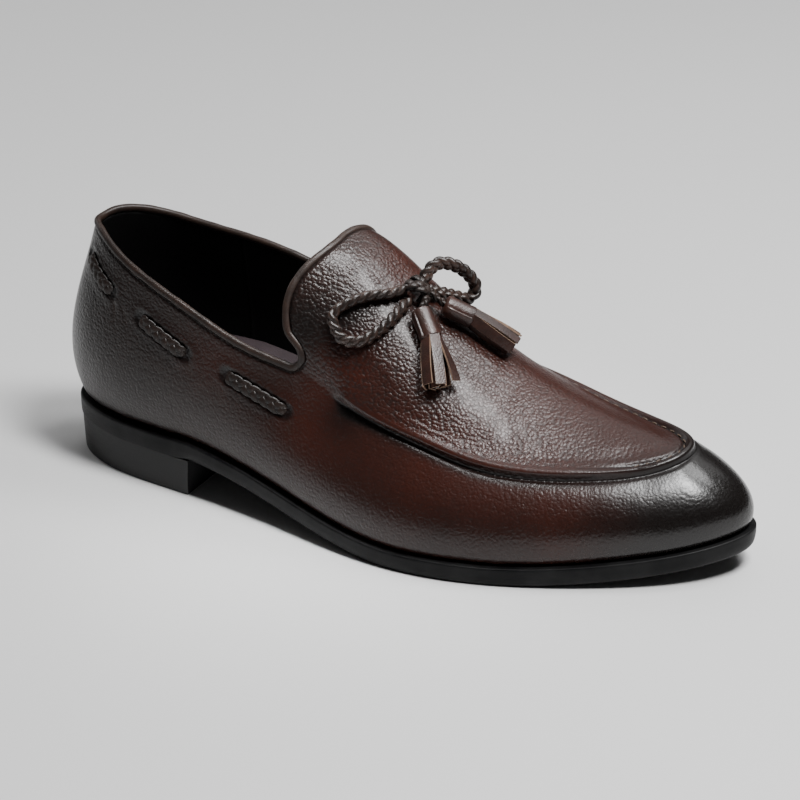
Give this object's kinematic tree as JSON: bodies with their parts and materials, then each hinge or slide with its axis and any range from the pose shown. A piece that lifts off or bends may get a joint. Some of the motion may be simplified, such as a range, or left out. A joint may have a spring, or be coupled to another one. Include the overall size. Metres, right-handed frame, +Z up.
{
  "type": "tassel loafer",
  "caption": "Right slip-on leather dress shoe with a moccasin-seam apron, bound collar, braided side lacing, bow with tassels on the vamp, thin black sole and low block heel",
  "frame": {"origin": "on the floor under the middle of the shoe's box, bow and tassels not counted", "axes": "+X to the toe, +Y to the medial side, +Z up; the lateral side of this right shoe is at -Y"},
  "size_m": [0.297, 0.1013, 0.1112],
  "materials": {
    "leather": "pebbled dark brown, burnished at toe and heel, satin sheen",
    "binding": "smooth taupe brown strip",
    "lace": "braided and smooth brown leather, tan raw edges",
    "sole": "satin black",
    "lining": "matt black with a purple cast"
  },
  "bodies": {
    "root": {"outsole": "sole", "heel": "sole", "insole": "lining", "upper": "leather", "topline_binding": "binding", "lace_bar_lateral_1": "lace", "lace_bar_lateral_2": "lace", "lace_bar_lateral_3": "lace", "lace_bar_medial_1": "lace", "lace_bar_medial_2": "lace", "lace_bar_medial_3": "lace", "bow_knot": "lace", "bow_loop_lateral": "lace", "bow_loop_medial": "lace", "tassel_lateral": "lace", "tassel_medial": "lace"}
  },
  "joints": []
}
